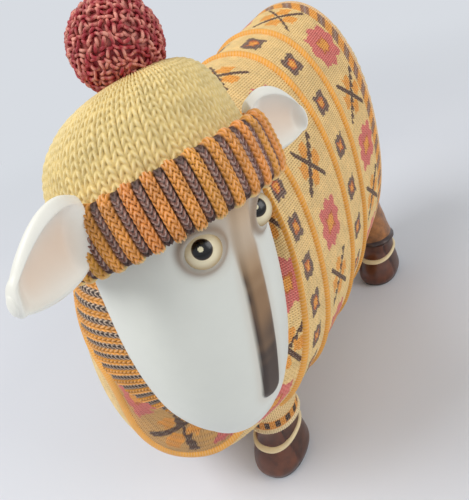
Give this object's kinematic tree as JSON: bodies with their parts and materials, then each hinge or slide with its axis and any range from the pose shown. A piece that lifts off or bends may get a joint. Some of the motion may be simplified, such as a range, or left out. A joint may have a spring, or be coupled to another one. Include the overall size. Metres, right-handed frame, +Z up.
{
  "type": "sheep figurine",
  "caption": "Standing sheep figurine in a knitted sweater, bobble hat and boots, with its head turned to one side.",
  "frame": {"origin": "middle of the bounding box at the underside of the boots", "axes": "+Z up, the sheep's body runs along Y with its chest towards -Y and its rump towards +Y, its own left is +X"},
  "size_m": [0.0982, 0.1958, 0.1611],
  "materials": {
    "sweater": "cast resin with knitted relief, hand painted cream, orange, rose and brown, matt",
    "wool": "cast resin fleece relief, painted cream with tan wash, matt",
    "rib": "cast resin rib relief, painted orange and brown, matt",
    "stocking": "cast resin, painted brown, matt",
    "boot": "cast resin, painted dark brown with gloss varnish",
    "face": "cast resin, painted off-white, satin",
    "eye": "painted cream with a black pupil, gloss varnish",
    "ear": "cast resin, painted off-white with a peach inside, satin",
    "crown": "cast resin with knitted relief, painted cream yellow with ochre wash, matt",
    "pompom": "cast resin yarn relief, painted crimson, dry-brushed pink, matt",
    "pin": "plain steel wire pin",
    "peg": "cast resin peg, unpainted"
  },
  "bodies": {
    "root": {"sweater_body": "sweater", "fleece_rump": "wool", "tail": "wool", "turtleneck_collar": "rib", "sleeve_front_left": "sweater", "sleeve_front_right": "sweater", "leg_rear_left": "stocking", "leg_rear_right": "stocking", "boot_front_left": "boot", "boot_front_right": "boot", "boot_rear_left": "boot", "boot_rear_right": "boot", "head": "face", "eye_left": "eye", "eye_right": "eye", "ear_left": "ear", "ear_right": "ear", "hat_cuff": "rib", "hat_crown": "crown", "pompom": "pompom", "neck_pin": "pin", "hat_peg": "peg", "pompom_peg": "peg", "leg_pin_front_left": "pin", "leg_pin_front_right": "pin", "leg_pin_rear_left": "pin", "leg_pin_rear_right": "pin"}
  },
  "joints": []
}
